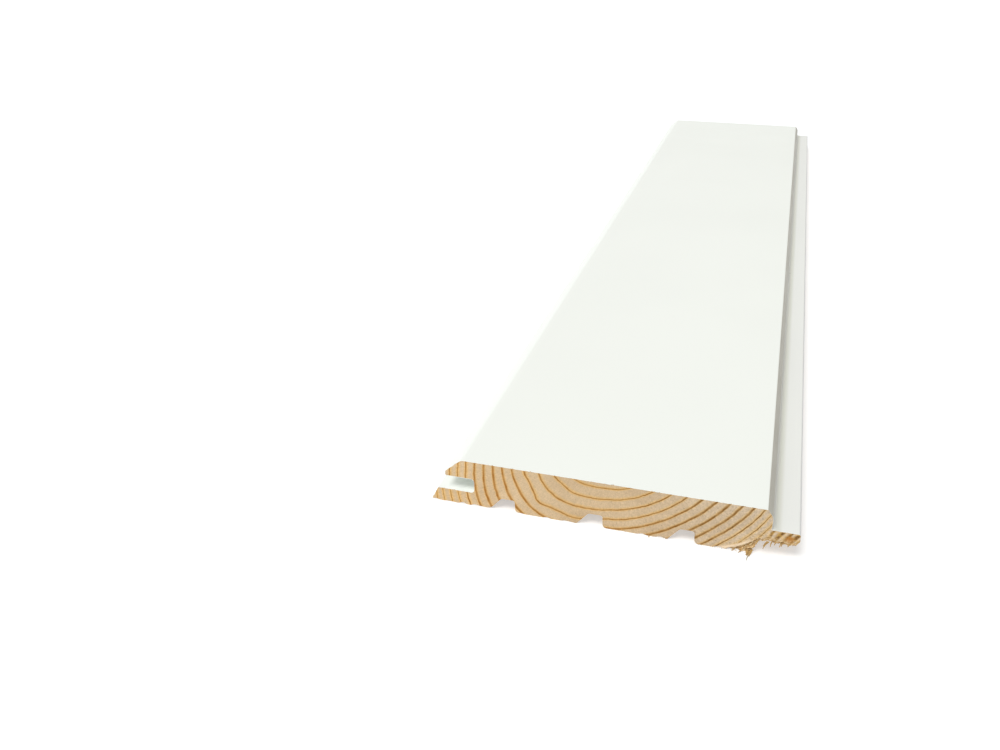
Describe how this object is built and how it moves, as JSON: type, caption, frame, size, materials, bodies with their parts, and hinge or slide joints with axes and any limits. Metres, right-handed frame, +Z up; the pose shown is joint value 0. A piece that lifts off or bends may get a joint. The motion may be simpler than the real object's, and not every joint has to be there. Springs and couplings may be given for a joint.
{
  "type": "tongue and groove board",
  "caption": "White-painted softwood panel board with a tongue, a groove, a chamfered V-joint face and relief grooves along its back.",
  "frame": {"origin": "middle of the bottom of the board's box, at half its width and half its length, on the plane of its back", "axes": "+X across the board from the groove edge to the tongue edge, +Y along the grain away from the sawn end that the picture shows, +Z up out of the painted face"},
  "size_m": [0.0982, 0.475, 0.014],
  "materials": {
    "painted_softwood": "satin off-white paint on the face and edges, bare sawn softwood on the ends, bare planed wood on the back"
  },
  "bodies": {
    "root": {"board": "painted_softwood"}
  },
  "joints": []
}
